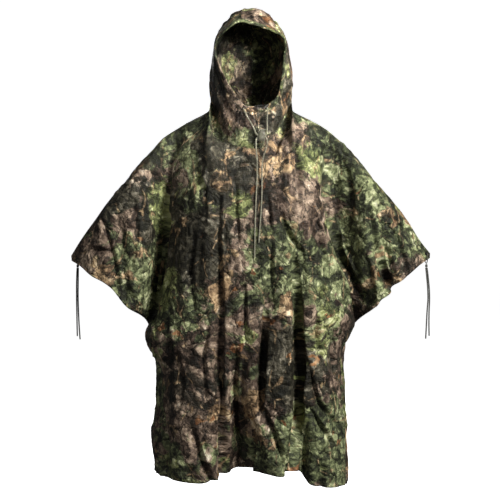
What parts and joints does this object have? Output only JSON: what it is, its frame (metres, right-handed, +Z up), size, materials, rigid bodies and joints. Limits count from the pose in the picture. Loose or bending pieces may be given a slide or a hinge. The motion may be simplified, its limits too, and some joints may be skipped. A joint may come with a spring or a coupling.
{
  "type": "hooded rain poncho",
  "caption": "Hooded rain poncho of camouflage coated cloth in its worn hollow form, with wide sleeves, a drawcord hood and tied sleeve tips.",
  "frame": {"origin": "centre of the neck base at the height of the shoulders, where the wearer carries the poncho", "axes": "+Z up, the front faces -Y, +X runs to the right of a person who looks at the front"},
  "size_m": [1.0066, 0.3554, 1.323],
  "materials": {
    "cloth": "coated ripstop with a mottled woodland camouflage print, soft satin sheen",
    "cord": "braided dark grey-green cord",
    "lock": "moulded, matte",
    "eyelet": "dark lacquered brass rings",
    "stud": "lacquered in the cloth's olive, satin"
  },
  "bodies": {
    "root": {"front_panel": "cloth", "back_panel": "cloth", "hood_left": "cloth", "hood_right": "cloth", "hood_casing": "cloth", "hood_cord_left": "cord", "hood_cord_right": "cord", "tie_loop_left": "cord", "tie_knot_left": "cord", "tie_end_left_a": "cord", "tie_end_left_b": "cord", "tie_loop_right": "cord", "tie_knot_right": "cord", "tie_end_right_a": "cord", "tie_end_right_b": "cord", "cord_lock_barrel": "lock", "cord_lock_button": "lock", "chin_eyelet_left": "eyelet", "chin_eyelet_right": "eyelet", "sleeve_eyelet_left": "eyelet", "sleeve_eyelet_right": "eyelet", "press_stud_left_1": "stud", "press_stud_left_2": "stud", "press_stud_left_3": "stud", "press_stud_right_1": "stud", "press_stud_right_2": "stud", "press_stud_right_3": "stud"}
  },
  "joints": []
}
